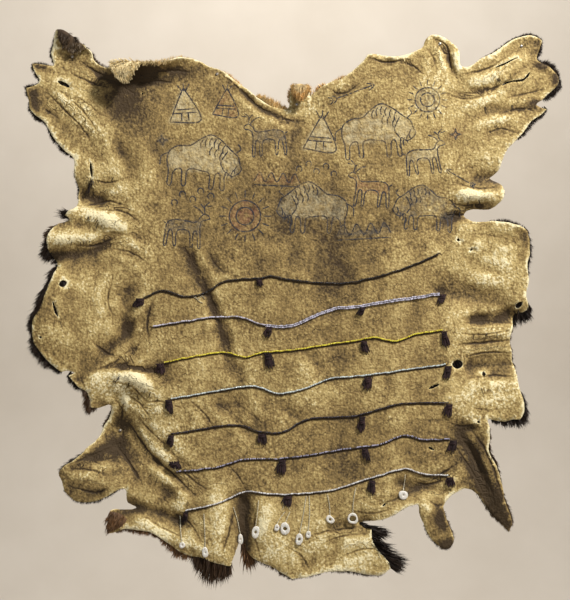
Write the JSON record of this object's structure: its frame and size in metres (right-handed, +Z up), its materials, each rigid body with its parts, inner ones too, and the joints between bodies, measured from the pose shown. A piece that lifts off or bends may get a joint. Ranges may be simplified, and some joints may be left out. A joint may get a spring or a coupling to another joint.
{
  "type": "painted hide robe",
  "caption": "Whole tanned hide with its hair on, nailed flat to a wall, with a painted field, bead strings, wool tufts and shell pendants on the bare side.",
  "frame": {"origin": "the neck nail, at the point where it enters the wall", "axes": "+Z up, +X to the viewer's right, -Y from the wall towards the room"},
  "size_m": [1.0886, 0.0972, 1.1275],
  "materials": {
    "skin": "bare flesh side, matt, mottled",
    "hair": "deer hair, brown to cream",
    "beads_black": "opaque seed beads",
    "beads_grey": "opaque seed beads",
    "beads_yellow": "opaque seed beads",
    "beads_pale_blue": "opaque seed beads",
    "wool": "dark wool yarn",
    "shell": "cut shell, half glossy",
    "nail": "plain steel"
  },
  "bodies": {
    "root": {"hide": "skin", "hair_coat": "hair", "bead_string_1": "beads_black", "bead_string_2": "beads_grey", "bead_string_3": "beads_yellow", "bead_string_4": "beads_pale_blue", "bead_string_5": "beads_black", "bead_string_6": "beads_black", "bead_string_7": "beads_grey", "wool_tuft_1": "wool", "wool_tuft_2": "wool", "wool_tuft_3": "wool", "wool_tuft_4": "wool", "wool_tuft_5": "wool", "wool_tuft_6": "wool", "wool_tuft_7": "wool", "wool_tuft_8": "wool", "wool_tuft_9": "wool", "wool_tuft_10": "wool", "wool_tuft_11": "wool", "wool_tuft_12": "wool", "wool_tuft_13": "wool", "wool_tuft_14": "wool", "wool_tuft_15": "wool", "wool_tuft_16": "wool", "wool_tuft_17": "wool", "wool_tuft_18": "wool", "wool_tuft_19": "wool", "wool_tuft_20": "wool", "wool_tuft_21": "wool", "wool_tuft_22": "wool", "wool_tuft_23": "wool", "wool_tuft_24": "wool", "shell_pendant_1": "shell", "shell_pendant_2": "shell", "shell_pendant_3": "shell", "shell_pendant_4": "shell", "shell_pendant_5": "shell", "shell_pendant_6": "shell", "shell_pendant_7": "shell", "shell_pendant_8": "shell", "shell_pendant_9": "shell", "shell_pendant_10": "shell", "shell_pendant_11": "shell", "nail_1": "nail", "nail_2": "nail", "nail_3": "nail", "nail_4": "nail", "nail_5": "nail", "nail_6": "nail"}
  },
  "joints": []
}
